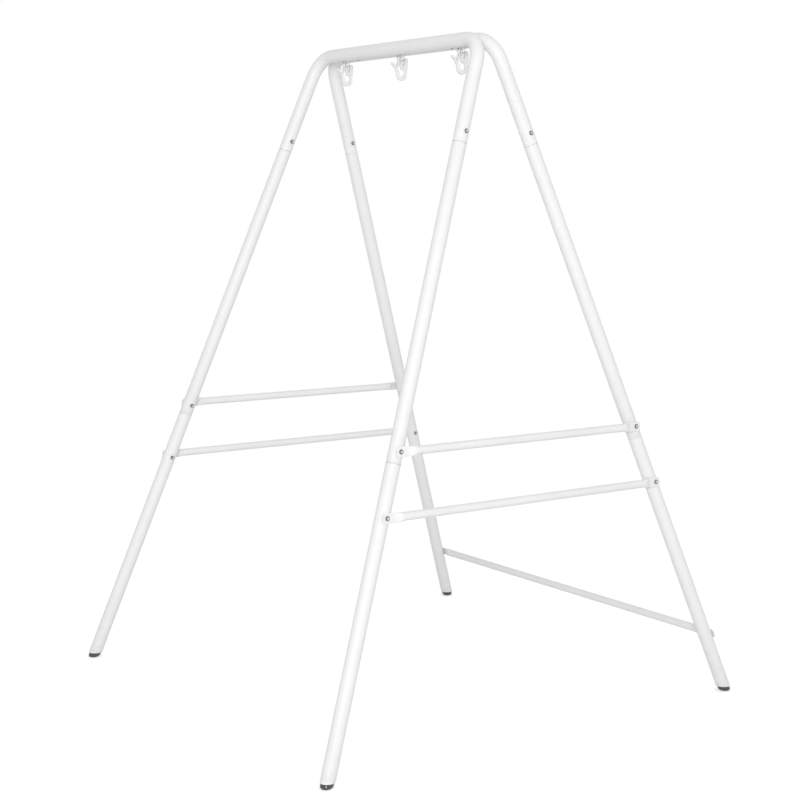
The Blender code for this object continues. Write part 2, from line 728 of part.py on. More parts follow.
def make_latch(x, name, pin_hole, parts, cutters):
    """A forked latch that turns on a riveted pin, and the small spring that shuts it."""
    pin = Vector((x, PIN_Y, pivot_height() + PIN_Z))
    along = Vector((LATCH_TIP_Y - PIN_Y, LATCH_TIP_Z - PIN_Z))
    length = along.length
    lean = math.degrees(math.atan2(along.y, along.x))
    inward = Vector((-along.y, along.x)).normalized()
    across = inward * LATCH_HALF_THICK
    outline = list(arc((0.0, 0.0), LATCH_BARREL_R, lean + LATCH_NECK_ANGLE,
                       lean + 360.0 - LATCH_NECK_ANGLE, LATCH_BARREL_STEPS))
    outline.append(tuple(along * LATCH_BELLY_SHARE - inward * LATCH_BELLY_DEPTH))
    outline += [tuple(along - across), tuple(along + across)]
    latch = flat_outline("latch_" + name, (outline,), LATCH_HALF_WIDTH, LATCH_EDGE_R, parts, WHITE,
                         side_matrix(pin))
    slot = pin_cylinder("latch_slot_" + name, x, -LATCH_SLOT_LEFT, LATCH_SLOT_RIGHT, LATCH_SLOT_R, cutters)
    boolean(latch, slot)
    boolean(latch, pin_hole)
    rivet = [(0.0, LATCH_HALF_WIDTH), (PIN_R, LATCH_HALF_WIDTH), (PIN_R, -LATCH_HALF_WIDTH),
             (0.0, -LATCH_HALF_WIDTH)]
    rivet_mesh = turned_mesh("latch_pin_" + name, rivet, SCREW_SIDES, ZINC)
    place(bpy.data.objects.new("latch_pin_" + name, rivet_mesh), parts, None,
          frame_matrix(pin, X_AXIS, Z_AXIS))
    wire("latch_spring_" + name, spring_points(pin, math.radians(lean)), SPRING_WIRE_R, 1, parts,
         SPRING_STEEL)


def spring_points(pin, lean):
    """The torsion spring: one leg towards the latch's tip, the coil, one leg up against the hook."""
    steps = int(SPRING_TURNS * SPRING_POINTS)
    points = []
    for i in range(steps + 1):
        angle = lean + FULL_TURN * i / SPRING_POINTS
        shift = X_AXIS * (SPRING_START_X + SPRING_PITCH * i / SPRING_POINTS)
        spoke = Y_AXIS * math.cos(angle) + Z_AXIS * math.sin(angle)
        if i == 0:
            points.append(pin + shift + spoke * (LATCH_SLOT_R - 2.0 * GAP))
        points.append(pin + shift + spoke * SPRING_R)
        if i == steps:
            points.append(pin + shift + spoke * (EAR_ROOM_R - 2.0 * GAP))
    return points


def main():
    clear_scene()
    parts = new_collection("hammock_stand")
    cutters = new_collection("cutters")
    holes = leg_screw_holes(cutters)
    make_top_tubes(parts, cutters, holes)
    make_legs(parts, cutters, holes)
    make_foot_caps(parts, cutters)
    make_crossbars(parts, cutters)
    make_fasteners(parts)
    make_hooks(parts, cutters)


main()
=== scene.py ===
import math

import bmesh
import bpy
from mathutils import Matrix, Vector


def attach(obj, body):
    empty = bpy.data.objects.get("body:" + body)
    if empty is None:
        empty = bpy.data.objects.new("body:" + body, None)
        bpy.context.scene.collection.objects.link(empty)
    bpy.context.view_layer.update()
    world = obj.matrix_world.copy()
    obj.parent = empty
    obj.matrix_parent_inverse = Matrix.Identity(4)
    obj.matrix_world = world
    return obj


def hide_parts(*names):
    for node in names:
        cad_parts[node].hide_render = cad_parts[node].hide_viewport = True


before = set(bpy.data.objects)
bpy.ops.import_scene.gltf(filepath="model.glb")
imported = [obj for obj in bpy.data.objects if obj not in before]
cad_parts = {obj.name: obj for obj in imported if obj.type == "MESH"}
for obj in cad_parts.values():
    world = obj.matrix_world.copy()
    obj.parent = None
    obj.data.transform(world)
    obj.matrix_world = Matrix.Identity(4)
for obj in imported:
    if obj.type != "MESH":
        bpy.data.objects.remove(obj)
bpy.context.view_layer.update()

# Overall layout, on tube axes. These sizes are the driving sizes of the CAD.
BAR_HEIGHT = 1.800
TOP_HALF_WIDTH = 0.392
FOOT_HALF_X = 0.660
FOOT_HALF_Y = 0.670
TUBE_R = 0.019
TUBE_WALL = 0.0012
BEND_R = 0.075
GAP = 0.0003
LEG_JOINT_HEIGHT = 1.554
KNEE_JOINT_HEIGHT = 0.766
LOWER_CROSSBAR_HEIGHT = 0.610
LOW_BAR_HEIGHT = 0.161
SEAM_BELOW_SCREW = 0.030
NECK_LENGTH = 0.058
NECK_GAP = 0.0006
SHOULDER = 0.0015
TUBE_END_ROUNDING = TUBE_WALL * 0.20
HOLE_REACH = TUBE_R * 1.6
DRAIN_HOLE_X = 0.228
DRAIN_HOLE_R = 0.0035
DRAIN_HOLE_ANGLE = math.radians(32.0)
INSERT_LENGTH = 0.0110

# Crossbars and low bar, with ends pressed flat. The photo shows them thicker than the CAD's.
CROSSBAR_R = 0.0110
CROSSBAR_WALL = 0.0010
FLAT_HALF_WIDTH = 0.0130
FLAT_HALF_THICK = 0.0017
FLAT_OVERHANG = 0.014
FLAT_LENGTH = 0.020
FLAT_TIP_LENGTH = 0.006
FLAT_TIP_SHARE = 0.65
FLAT_TIP_STEPS = 8
FLAT_WALL_SHARE = 0.7
FLAT_SQUARENESS = 5.0
ROUND_SQUARENESS = 2.0
FLARE_LENGTH = 0.034

# Screws, with where a head's painted highlight turns to painted shade as shares of its radius, and nuts.
SCREW_R = 0.0030
SCREW_HOLE_R = 0.0034
SCREW_HEAD_R = 0.0062
SCREW_HEAD_HEIGHT = 0.0036
SCREW_HEAD_RIM = 0.0007
SCREW_HEAD_EDGE = 0.0002
SCREW_PAINTED_SHADE_SHARES = (0.45, 0.80)
SCREW_THREAD_DEPTH = 0.0004
SCREW_PITCH = 0.0010
THREAD_CREST = 0.2
THREAD_ROOT = 0.6
THREAD_TOP = 0.0110
THREAD_END = 0.0010
NUT_CORNER_R = 0.0057
NUT_BORE_R = 0.0037
NUT_HEIGHT = 0.0050
NUT_CHAMFER_SHARE = 0.55
NUT_BORE_EDGE = 0.0003
NUT_SIDES = 48
HALF_FLAT = math.pi / 6.0
SCREW_PAST_NUT = 0.0030
SCREW_PAST_INSERT = 0.0015

# Foot caps. The heights are upright ones, because the legs are cut level.
CAP_R = 0.0168
CAP_HEIGHT = 0.0145
CAP_EDGE_R = 0.0085
CAP_PLUG_R = 0.0172
CAP_PLUG_BORE_R = 0.0145
CAP_PLUG_LENGTH = 0.024
CAP_RIM_STEP = 0.0010
CAP_RIM_HEIGHT = 0.0030
CAP_ROUNDING = 0.0004

# The welded eyes that the hooks hang on.
HANGERS = ((-0.280, "left"), (0.0, "middle"), (0.280, "right"))
EYE_WIRE_R = 0.0040
EYE_HALF_WIDTH = 0.0140
EYE_CORNER_R = 0.0070
EYE_DROP = 0.0090
PIVOT_HEIGHT = BAR_HEIGHT - TUBE_R - EYE_DROP
WELD_BEAD_R = 0.0013
WELD_SPREAD = WELD_BEAD_R * 0.35
WELD_SINK = WELD_BEAD_R * 0.3
WELD_RIPPLES = 14
WELD_RIPPLE_DEPTH = 0.14
WELD_STEPS = 96
WELD_SIDES = 12

# The hook's outline lies in a (Y, Z) plane round its pivot. A TURN is an arc's start, end and steps.
HOOK_HALF_THICK = 0.0045
HOOK_EDGE_R = 0.0016
HOOK_OUTSIDE = HOOK_HALF_THICK * 1.6
RING_BORE_R = 0.0055
RING_BORE_TURN = (0.0, 354.0, 59)
RING_R = 0.0095
RING_Z = EYE_WIRE_R + GAP - RING_BORE_R
RING_TURN = (-30.0, 200.0, 22)
BOWL = (0.0042, -0.0388)
BOWL_R = 0.0098
BOWL_TURN = (105.0, -180.0, 24)
BELLY = (0.0038, -0.0433)
BELLY_R = 0.0168
BELLY_TURN = (180.0, 360.0, 24)
NOSE_TIP = (-0.0286, -0.0136)
NOSE_TIP_R = 0.0030
NOSE_TIP_TURN = (70.0, 245.0, 8)
NOSE_OUTER = ((-0.0250, -0.0200), (-0.0186, -0.0272), (-0.0146, -0.0350))
NOSE_INNER = ((-0.0072, -0.0335), (-0.0109, -0.0285), (-0.0156, -0.0232), (-0.0210, -0.0153))
BACK = ((0.0202, -0.0365), (0.0217, -0.0270), (0.0229, -0.0170))
HORN = (0.0180, -0.0030)
HORN_R = 0.0050
HORN_TURN = (0.0, 180.0, 12)
BACK_SLOT = ((0.0126, -0.0115), (0.0108, -0.0170), (0.0084, -0.0205), (0.0066, -0.0196),
             (0.0074, -0.0156), (0.0090, -0.0105))
NECK = ((-0.0022, -0.0114), (-0.0012, -0.0170), (-0.0002, -0.0225), (0.0010, -0.0272))
LATCH_PIN = (-0.0060, -0.0075)
PIN_R = 0.0012
PIN_EDGE = 0.0002
PIN_HOLE_R = 0.0013
BOSS_R = 0.0034
BOSS_TURN = (165.0, 262.0, 8)
TANG_HALF_THICK = 0.0012
EAR_ROOM_R = 0.0048
OUTLINE_STEPS = 3

# The latch, drawn round its pin. Its barrel's turn is counted from the way to the latch's tip.
LATCH_HALF_WIDTH = 0.0044
LATCH_EDGE_R = 0.0004
LATCH_BARREL_R = 0.0032
LATCH_BARREL_TURN = (35.0, 325.0, 36)
LATCH_HALF_THICK = 0.0012
LATCH_TIP = (-0.0116, -0.0262)
LATCH_BELLY_SHARE = 0.45
LATCH_BELLY_DEPTH = 0.0032
LATCH_SLOT_R = 0.0050
LATCH_SLOT = (-0.0015, 0.0035)
SPRING_R = 0.0019
SPRING_WIRE_R = 0.0002
SPRING_PITCH = 0.0009
SPRING_TURNS = 1.5
SPRING_STEPS = 32
SPRING_START_X = 0.0018
SPRING_TUCK = 2.0 * GAP

# How finely the shown pieces are made.
TUBE_SIDES = 48
SMALL_SIDES = 32
WIRE_SIDES = 10
FINE_STEPS = 16
BEVEL_STEPS = 3
CORNER_SHARE = 0.45
NEAR_AXIS = 0.9
SHARP_ANGLE = math.radians(40.0)
MERGE_DISTANCE = 0.000005
FULL_TURN = 2.0 * math.pi

# Camera, fitted to the photograph's tube edges, tube ends and screws.
CAMERA_PLACE = (3.7188, -2.6017, 1.3909)
CAMERA_YAW = 0.959989
CAMERA_PITCH = 0.127546
CAMERA_ROLL = 0.002954
CAMERA_LENS = 71.552
CAMERA_SENSOR = 36.0
CAMERA_NEAR = 0.05
CAMERA_FAR = 60.0

# Light and floor.
SKY_STRENGTH = 0.70
SKY_LEAN = (0.10, 0.08, -0.13)
KEY_PLACE = (6.2, -5.1, 2.7)
KEY_SIZE = 3.0
KEY_POWER = 272.0
STAGE_CENTRE = (0.0, 0.0, 0.9)
FLOOR_HALF = 14.0
FLOOR_GREY = 0.80
FLOOR_SEEN_GREY = 0.97
FLOOR_SEEN_LIFT = 0.40

# Sockets of a Mix node that mixes colours.
MIX_A = 6
MIX_B = 7
MIX_RESULT = 2

X_AXIS = Vector((1.0, 0.0, 0.0))
Y_AXIS = Vector((0.0, 1.0, 0.0))
Z_AXIS = Vector((0.0, 0.0, 1.0))
SIDES = ((-1, "left"), (1, "right"))
ENDS = ((-1, "front"), (1, "rear"))
LEG_SCREWS = (("joint", LEG_JOINT_HEIGHT), ("knee", KNEE_JOINT_HEIGHT),
              ("crossbar", LOWER_CROSSBAR_HEIGHT))


# Materials.

def new_material(name, roughness, metallic):
    made = bpy.data.materials.new(name)
    made.use_nodes = True
    shader = made.node_tree.nodes["Principled BSDF"]
    shader.inputs["Roughness"].default_value = roughness
    shader.inputs["Metallic"].default_value = metallic
    return made, made.node_tree, shader


def add_node(tree, kind, **values):
    node = tree.nodes.new(kind)
    for name, value in values.items():
        setattr(node, name, value)
    return node


def noise(tree, coordinates, scale, detail=2.0, roughness=0.5):
    node = add_node(tree, "ShaderNodeTexNoise")
    node.inputs["Scale"].default_value = scale
    node.inputs["Detail"].default_value = detail
    node.inputs["Roughness"].default_value = roughness
    tree.links.new(coordinates, node.inputs["Vector"])
    return node.outputs["Fac"]


def object_coordinates(tree):
    return add_node(tree, "ShaderNodeTexCoord").outputs["Object"]


def ramp(tree, factor, stops):
    """A colour ramp of (position, grey) stops."""
    node = add_node(tree, "ShaderNodeValToRGB")
    elements = node.color_ramp.elements
    while len(elements) < len(stops):
        elements.new(0.5)
    for element, (position, grey) in zip(elements, stops):
        element.position = position
        element.color = (grey, grey, grey, 1.0)
    tree.links.new(factor, node.inputs["Fac"])
    return node.outputs["Color"]


def bump(tree, height, strength, distance, normal=None):
    node = add_node(tree, "ShaderNodeBump")
    node.inputs["Strength"].default_value = strength
    node.inputs["Distance"].default_value = distance
    tree.links.new(height, node.inputs["Height"])
    if normal is not None:
        tree.links.new(normal, node.inputs["Normal"])
    return node.outputs["Normal"]


def mix_grey(tree, factor, first, second):
    """Mix of two colours or greys. A number stands for an even grey."""
    node = add_node(tree, "ShaderNodeMix", data_type="RGBA")
    tree.links.new(factor, node.inputs["Factor"])
    for socket, value in ((node.inputs[MIX_A], first), (node.inputs[MIX_B], second)):
        if isinstance(value, float):
            socket.default_value = (value, value, value, 1.0)
        else:
            tree.links.new(value, socket)
    return node.outputs[MIX_RESULT]


def darkened(tree, colour, mask, amount):
    """The colour multiplied by a grey mask, by an even amount."""
    node = add_node(tree, "ShaderNodeMix", data_type="RGBA", blend_type="MULTIPLY")
    node.inputs["Factor"].default_value = amount
    tree.links.new(colour, node.inputs[MIX_A])
    tree.links.new(mask, node.inputs[MIX_B])
    return node.outputs[MIX_RESULT]


def two_values(tree, operation, first, second):
    """One number worked out from two. The second may be a plain number."""
    node = add_node(tree, "ShaderNodeMath", operation=operation)
    tree.links.new(first, node.inputs[0])
    if isinstance(second, float):
        node.inputs[1].default_value = second
    else:
        tree.links.new(second, node.inputs[1])
    return node.outputs["Value"]


def height_in(tree, place):
    """The Z of a place."""
    node = add_node(tree, "ShaderNodeSeparateXYZ")
    tree.links.new(place, node.inputs["Vector"])
    return node.outputs["Z"]


def painted_crevice_shade(tree, distance, stops):
    """A ramp over how closely the surface is hemmed in: painted shade in corners and creases."""
    node = add_node(tree, "ShaderNodeAmbientOcclusion", samples=4)
    node.inputs["Distance"].default_value = distance
    return ramp(tree, node.outputs["AO"], stops)


def powder_coat():
    """White powder coat: slight orange peel, faint tone changes, dust low on each piece, painted shade
    in corners.
    """
    made, tree, shader = new_material("white_powder_coat", 0.38, 0.0)
    shader.inputs["Specular IOR Level"].default_value = 0.25
    place = object_coordinates(tree)
    patches = ramp(tree, noise(tree, place, 9.0, detail=4.0), ((0.30, 0.850), (0.70, 0.880)))
    specks = ramp(tree, noise(tree, place, 900.0, detail=1.0), ((0.24, 0.62), (0.29, 1.0)))
    speckled = darkened(tree, patches, specks, 0.35)
    low = ramp(tree, height_in(tree, place), ((0.015, 1.0), (0.16, 0.0)))
    drift = noise(tree, place, 45.0, detail=5.0, roughness=0.65)
    dust = two_values(tree, "MULTIPLY", low, ramp(tree, drift, ((0.42, 0.0), (0.75, 0.55))))
    dusty = mix_grey(tree, dust, speckled, 0.66)
    # Painted shade: the coat is darker where the surface is hemmed in, in corners and creases.
    painted_corner_shade = painted_crevice_shade(tree, 0.006, ((0.25, 0.80), (0.75, 1.0)))
    tree.links.new(darkened(tree, dusty, painted_corner_shade, 0.25), shader.inputs["Base Color"])
    gloss = ramp(tree, noise(tree, place, 30.0, detail=4.0), ((0.30, 0.33), (0.75, 0.46)))
    tree.links.new(gloss, shader.inputs["Roughness"])
    peel = bump(tree, noise(tree, place, 620.0), strength=0.10, distance=0.0004)
    fine = noise(tree, place, 2600.0, detail=1.0)
    grain = bump(tree, fine, strength=0.05, distance=0.0001, normal=peel)
    tree.links.new(grain, shader.inputs["Normal"])
    return made


def weld_paint():
    """The same coat over a weld: a little duller, with small spatter."""
    made, tree, shader = new_material("painted_weld", 0.45, 0.0)
    place = object_coordinates(tree)
    patches = ramp(tree, noise(tree, place, 400.0, detail=3.0), ((0.30, 0.74), (0.70, 0.84)))
    tree.links.new(patches, shader.inputs["Base Color"])
    spatter = bump(tree, noise(tree, place, 1500.0, detail=3.0), strength=0.25, distance=0.0003)
    tree.links.new(spatter, shader.inputs["Normal"])
    return made


def black_plastic():
    """Moulded black plastic with a fine grain, scuffed pale below the leg's end."""
    made, tree, shader = new_material("black_plastic", 0.42, 0.0)
    shader.inputs["Specular IOR Level"].default_value = 0.8
    place = object_coordinates(tree)
    base = ramp(tree, noise(tree, place, 120.0, detail=4.0), ((0.30, 0.016), (0.75, 0.030)))
    low = ramp(tree, height_in(tree, place), ((0.0006, 1.0), (0.0045, 0.0)))
    scratches = noise(tree, place, 700.0, detail=6.0, roughness=0.7)
    scuffs = two_values(tree, "MULTIPLY", low, ramp(tree, scratches, ((0.50, 0.0), (0.66, 0.8))))
    worn = mix_grey(tree, scuffs, base, 0.11)
    tree.links.new(worn, shader.inputs["Base Color"])
    gloss = ramp(tree, noise(tree, place, 260.0, detail=3.0), ((0.3, 0.13), (0.7, 0.21)))
    tree.links.new(gloss, shader.inputs["Roughness"])
    grain = bump(tree, noise(tree, place, 1800.0), strength=0.06, distance=0.0003)
    tree.links.new(grain, shader.inputs["Normal"])
    return made


def from_axis(tree, place):
    """The distance of a place from the Z axis."""
    flat = add_node(tree, "ShaderNodeVectorMath", operation="MULTIPLY")
    flat.inputs[1].default_value = (1.0, 1.0, 0.0)
    tree.links.new(place, flat.inputs[0])
    radius = add_node(tree, "ShaderNodeVectorMath", operation="LENGTH")
    tree.links.new(flat.outputs["Vector"], radius.inputs[0])
    return radius.outputs["Value"]


def plated_steel_painted_shade():
    """Zinc-plated steel with painted light: a painted highlight on the crown of a head, painted shade
    towards the rim and in the thread.
    """
    made, tree, shader = new_material("zinc_steel", 0.3, 0.9)
    place = object_coordinates(tree)
    # Painted light: the crown is painted bright as a highlight and the rim dark as shade, blended by
    # distance from the axis; the nuts' flats lie in the painted shade.
    painted_shade_share = add_node(tree, "ShaderNodeMapRange")
    painted_shade_share.inputs["From Min"].default_value = SCREW_HEAD_R * SCREW_PAINTED_SHADE_SHARES[0]
    painted_shade_share.inputs["From Max"].default_value = SCREW_HEAD_R * SCREW_PAINTED_SHADE_SHARES[1]
    tree.links.new(from_axis(tree, place), painted_shade_share.inputs["Value"])
    mottled = noise(tree, place, 900.0, detail=4.0, roughness=0.6)
    crown_zinc_and_painted_highlight = ramp(tree, mottled, ((0.30, 0.52), (0.70, 0.70)))
    painted_rim_shade = ramp(tree, noise(tree, place, 1500.0, detail=3.0), ((0.30, 0.09), (0.75, 0.17)))
    tree.links.new(mix_grey(tree, painted_shade_share.outputs["Result"], crown_zinc_and_painted_highlight, painted_rim_shade), shader.inputs["Base Color"])
    gloss = ramp(tree, noise(tree, place, 2400.0, detail=3.0), ((0.3, 0.24), (0.7, 0.42)))
    tree.links.new(gloss, shader.inputs["Roughness"])
    grain = bump(tree, noise(tree, place, 3500.0), strength=0.08, distance=0.0001)
    tree.links.new(grain, shader.inputs["Normal"])
    return made


def spring_steel():
    """Bright drawn wire with faint changes of shade and gloss."""
    made, tree, shader = new_material("spring_steel", 0.25, 1.0)
    place = object_coordinates(tree)
    shades = ramp(tree, noise(tree, place, 4000.0, detail=3.0), ((0.3, 0.38), (0.7, 0.60)))
    tree.links.new(shades, shader.inputs["Base Color"])
    gloss = ramp(tree, noise(tree, place, 6000.0), ((0.3, 0.20), (0.7, 0.36)))
    tree.links.new(gloss, shader.inputs["Roughness"])
    return made


def seen_ray(tree):
    """One for a camera, gloss or transmission ray, and zero for a ray that only carries light."""
    path = add_node(tree, "ShaderNodeLightPath")
    seen = path.outputs["Is Camera Ray"]
    for name in ("Is Glossy Ray", "Is Transmission Ray"):
        seen = two_values(tree, "MAXIMUM", seen, path.outputs[name])
    return seen


def floor_material():
    """A pale floor that keeps the object's shadow and shows as white to the camera."""
    made, tree, shader = new_material("floor", 0.9, 0.0)
    seen = seen_ray(tree)
    tree.links.new(mix_grey(tree, seen, FLOOR_GREY, FLOOR_SEEN_GREY), shader.inputs["Base Color"])
    shader.inputs["Specular IOR Level"].default_value = 0.0
    shader.inputs["Emission Color"].default_value = (1.0, 1.0, 1.0, 1.0)
    lift = two_values(tree, "MULTIPLY", seen, FLOOR_SEEN_LIFT)
    tree.links.new(lift, shader.inputs["Emission Strength"])
    return made


# Mesh helpers.

def dress(mesh, material_made):
    """Smooth shading with sharp edges, and the one material."""
    mesh.shade_smooth()
    mesh.set_sharp_from_angle(angle=SHARP_ANGLE)
    mesh.materials.clear()
    mesh.materials.append(material_made)


def put(name, data):
    """A new object of the scene."""
    obj = bpy.data.objects.new(name, data)
    bpy.context.scene.collection.objects.link(obj)
    return obj


def finished(name, bm, material_made):
    """A smooth-shaded object made from bmesh geometry."""
    bmesh.ops.remove_doubles(bm, verts=bm.verts, dist=MERGE_DISTANCE)
    bmesh.ops.recalc_face_normals(bm, faces=bm.faces)
    mesh = bpy.data.meshes.new(name)
    bm.to_mesh(mesh)
    bm.free()
    dress(mesh, material_made)
    return put(name, mesh)


def level_ring(bm, height, sides, radius_at, start=0.0):
    """A ring of vertices round Z. radius_at gives the radius at an angle from the start."""
    ring = []
    for i in range(sides):
        angle = FULL_TURN * i / sides
        radius = radius_at(angle)
        place = (radius * math.cos(angle + start), radius * math.sin(angle + start), height)
        ring.append(bm.verts.new(place))
    return ring


def join_rings(bm, rings, closed):
    """Quads or triangles between rings of vertices; a ring of one vertex is a pole."""
    pairs = list(zip(rings, rings[1:]))
    if closed:
        pairs.append((rings[-1], rings[0]))
    for near, far in pairs:
        sides = max(len(near), len(far))
        if sides == 1:
            continue
        for i in range(sides):
            j = (i + 1) % sides
            painted_corner_shade = [near[i % len(near)], near[j % len(near)], far[j % len(far)], far[i % len(far)]]
            bm.faces.new(list(dict.fromkeys(painted_corner_shade)))


def turned(name, profile, sides, material_made, matrix):
    """Turn a (radius, height) profile round Z. It is a loop unless it starts and ends on the axis."""
    bm = bmesh.new()
    rings = []
    for radius, height in profile:
        if radius < MERGE_DISTANCE:
            rings.append([bm.verts.new((0.0, 0.0, height))])
        else:
            rings.append(level_ring(bm, height, sides, lambda angle: radius))
    join_rings(bm, rings, profile[0][0] > MERGE_DISTANCE)
    obj = finished(name, bm, material_made)
    obj.matrix_world = matrix
    return obj


def rounded(points, radius, steps=BEVEL_STEPS, closed=True):
    """A 2D outline with its corners rounded, as far as its runs allow."""
    made = []
    count = len(points)
    for i, point in enumerate(points):
        corner = Vector(point)
        before = Vector(points[i - 1])
        after = Vector(points[(i + 1) % count])
        if not closed and i in (0, count - 1):
            made.append(tuple(corner))
            continue
        room = min((before - corner).length, (after - corner).length)
        reach = min(radius, room * CORNER_SHARE)
        first = corner + (before - corner).normalized() * reach
        last = corner + (after - corner).normalized() * reach
        for step in range(steps + 1):
            t = step / steps
            made.append(tuple(first * (1 - t) ** 2 + corner * 2 * t * (1 - t) + last * t ** 2))
    return made


def swept(name, points, radius_at, sides, material_made, wall=0.0, closed=False):
    """A round tube or wire along the points. radius_at gives the radius at each point."""
    bm = bmesh.new()
    outer = []
    inner = []
    hint = None
    count = len(points)
    for i, point in enumerate(points):
        if closed:
            along = (points[(i + 1) % count] - points[i - 1]).normalized()
        else:
            along = (points[min(i + 1, count - 1)] - points[max(i - 1, 0)]).normalized()
        if hint is None:
            hint = along.orthogonal().normalized()
        first = (hint - along * hint.dot(along)).normalized()
        second = along.cross(first)
        hint = first
        rings = [(outer, radius_at(i))]
        if wall:
            rings.append((inner, radius_at(i) - wall))
        for kept, radius in rings:
            ring = []
            for k in range(sides):
                angle = FULL_TURN * k / sides
                spoke = first * math.cos(angle) + second * math.sin(angle)
                ring.append(bm.verts.new(point + spoke * radius))
            kept.append(ring)
    if wall:
        join_rings(bm, outer + inner[::-1], True)
    elif closed:
        join_rings(bm, outer, True)
    else:
        start = [bm.verts.new(points[0])]
        end = [bm.verts.new(points[-1])]
        join_rings(bm, [start] + outer + [end], False)
    return finished(name, bm, material_made)


def frame_matrix(origin, z_dir, x_hint):
    """A placement whose local Z is z_dir and whose local X is as near x_hint as it can be."""
    z = z_dir.normalized()
    y = z.cross(x_hint).normalized()
    x = y.cross(z)
    return Matrix.Translation(origin) @ Matrix((x, y, z)).transposed().to_4x4()


def arc(centre, radius, start, end, steps):
    """Points of a circular arc in a plane, angles in degrees."""
    for i in range(steps + 1):
        angle = math.radians(start + (end - start) * i / steps)
        yield (centre[0] + radius * math.cos(angle), centre[1] + radius * math.sin(angle))


def fillet(before, corner, after, radius, steps):
    """Points of a rounded corner between two straight runs."""
    to_before = (before - corner).normalized()
    to_after = (after - corner).normalized()
    half = to_before.angle(to_after) / 2.0
    first = corner + to_before * (radius / math.tan(half))
    last = corner + to_after * (radius / math.tan(half))
    centre = corner + (to_before + to_after).normalized() * (radius / math.sin(half))
    spoke = first - centre
    turn = spoke.angle(last - centre)
    axis = spoke.cross(last - centre).normalized()
    return [centre + Matrix.Rotation(turn * i / steps, 3, axis) @ spoke for i in range(steps + 1)]


def cutter_between(start, end, radius):
    """A cylinder from start to end that only cuts."""
    axis = end - start
    bm = bmesh.new()
    bmesh.ops.create_cone(bm, cap_ends=True, segments=SMALL_SIDES, radius1=radius, radius2=radius,
                          depth=axis.length)
    mesh = bpy.data.meshes.new("cutter")
    bm.to_mesh(mesh)
    bm.free()
    hint = X_AXIS if abs(axis.normalized().x) < NEAR_AXIS else Z_AXIS
    cutter = put("cutter", mesh)
    cutter.matrix_world = frame_matrix((start + end) / 2.0, axis, hint)
    return cutter


def cut(obj, cutters):
    """Cuts the object's mesh for good, and removes the cutters."""
    for cutter in cutters:
        modifier = obj.modifiers.new("Cut", "BOOLEAN")
        modifier.operation = "DIFFERENCE"
        modifier.object = cutter
        modifier.solver = "EXACT"
    material_made = obj.data.materials[0]
    graph = bpy.context.evaluated_depsgraph_get()
    graph.update()
    mesh = bpy.data.meshes.new_from_object(obj.evaluated_get(graph))
    obj.modifiers.clear()
    mesh.name = obj.name
    dress(mesh, material_made)
    for face in mesh.polygons:
        face.material_index = 0
    obj.data = mesh
    for cutter in cutters:
        bpy.data.objects.remove(cutter, do_unlink=True)


def stands_for(obj, node, body):
    """The piece joins its body and stands in for its CAD node, which is hidden."""
    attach(obj, body)
    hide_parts(node)


# Layout of the frame.

def corner_point(side, end):
    return Vector((side * TOP_HALF_WIDTH, end * TUBE_R, BAR_HEIGHT))


def foot_point(side, end):
    return Vector((side * FOOT_HALF_X, end * FOOT_HALF_Y, 0.0))


def leg_direction(side, end):
    return (foot_point(side, end) - corner_point(side, end)).normalized()


def leg_point(side, end, height):
    """The point of a leg's axis at a height over the floor."""
    share = (BAR_HEIGHT - height) / BAR_HEIGHT
    return corner_point(side, end).lerp(foot_point(side, end), share)


def square_to_leg(side, end, wanted):
    """The direction square to a leg that is nearest to the wanted one."""
    down = leg_direction(side, end)
    return (wanted - down * wanted.dot(down)).normalized()


def seam_point(side, end, screw_height):
    """The seam a little below a joint's screw."""
    return leg_point(side, end, screw_height) + leg_direction(side, end) * SEAM_BELOW_SCREW


def leg_hole(side, end, height, wanted, through=True):
    """A cutter for a screw hole in a leg, through it or on one side only."""
    centre = leg_point(side, end, height)
    reach = square_to_leg(side, end, wanted) * HOLE_REACH
    start = centre - reach if through else centre
    return cutter_between(start, centre + reach, SCREW_HOLE_R)


def top_tubes(paint):
    """The two bent top tubes with their screw and drain holes."""
    for end, end_name in ENDS:
        left = corner_point(-1, end)
        right = corner_point(1, end)
        left_end = seam_point(-1, end, LEG_JOINT_HEIGHT)
        right_end = seam_point(1, end, LEG_JOINT_HEIGHT)
        points = [left_end]
        points += fillet(left_end, left, right, BEND_R, FINE_STEPS)
        points += fillet(left, right, right_end, BEND_R, FINE_STEPS)
        points += [right_end]
        name = end_name + "_top_tube"
        tube = swept(name + "_shown", points, lambda i: TUBE_R, TUBE_SIDES, paint, wall=TUBE_WALL)
        cutters = []
        for side, _ in SIDES:
            cutters.append(leg_hole(side, end, LEG_JOINT_HEIGHT, X_AXIS))
            centre = Vector((side * DRAIN_HOLE_X, end * TUBE_R, BAR_HEIGHT))
            out = Vector((0.0, -end * math.sin(DRAIN_HOLE_ANGLE), -math.cos(DRAIN_HOLE_ANGLE)))
            cutters.append(cutter_between(centre, centre + out * HOLE_REACH, DRAIN_HOLE_R))
        cut(tube, cutters)
        stands_for(tube, name, "stand")


def leg_profile(length):
    """A leg section from its lower end at 0 up to its seam, with rolled edges and a swaged neck."""
    inner = TUBE_R - TUBE_WALL
    neck_r = inner - NECK_GAP
    neck_inner = neck_r - TUBE_WALL
    outline = [(neck_r, length + NECK_LENGTH), (neck_r, length), (TUBE_R, length - SHOULDER),
               (TUBE_R, 0.0), (inner, 0.0), (inner, length - SHOULDER * 2.0),
               (neck_inner, length + SHOULDER), (neck_inner, length + NECK_LENGTH)]
    return rounded(outline, TUBE_END_ROUNDING)


def cap_seat(side, end):
    """Where a leg's tube stops above its foot cap."""
    return leg_point(side, end, CAP_HEIGHT)


def slide_level(obj, matrix, below):
    """Slide the vertices under a height along the turned axis, so that this end is level."""
    for vertex in obj.data.vertices:
        if vertex.co.z < below:
            rise = matrix.col[0].z * vertex.co.x + matrix.col[1].z * vertex.co.y
            vertex.co.z -= rise / matrix.col[2].z


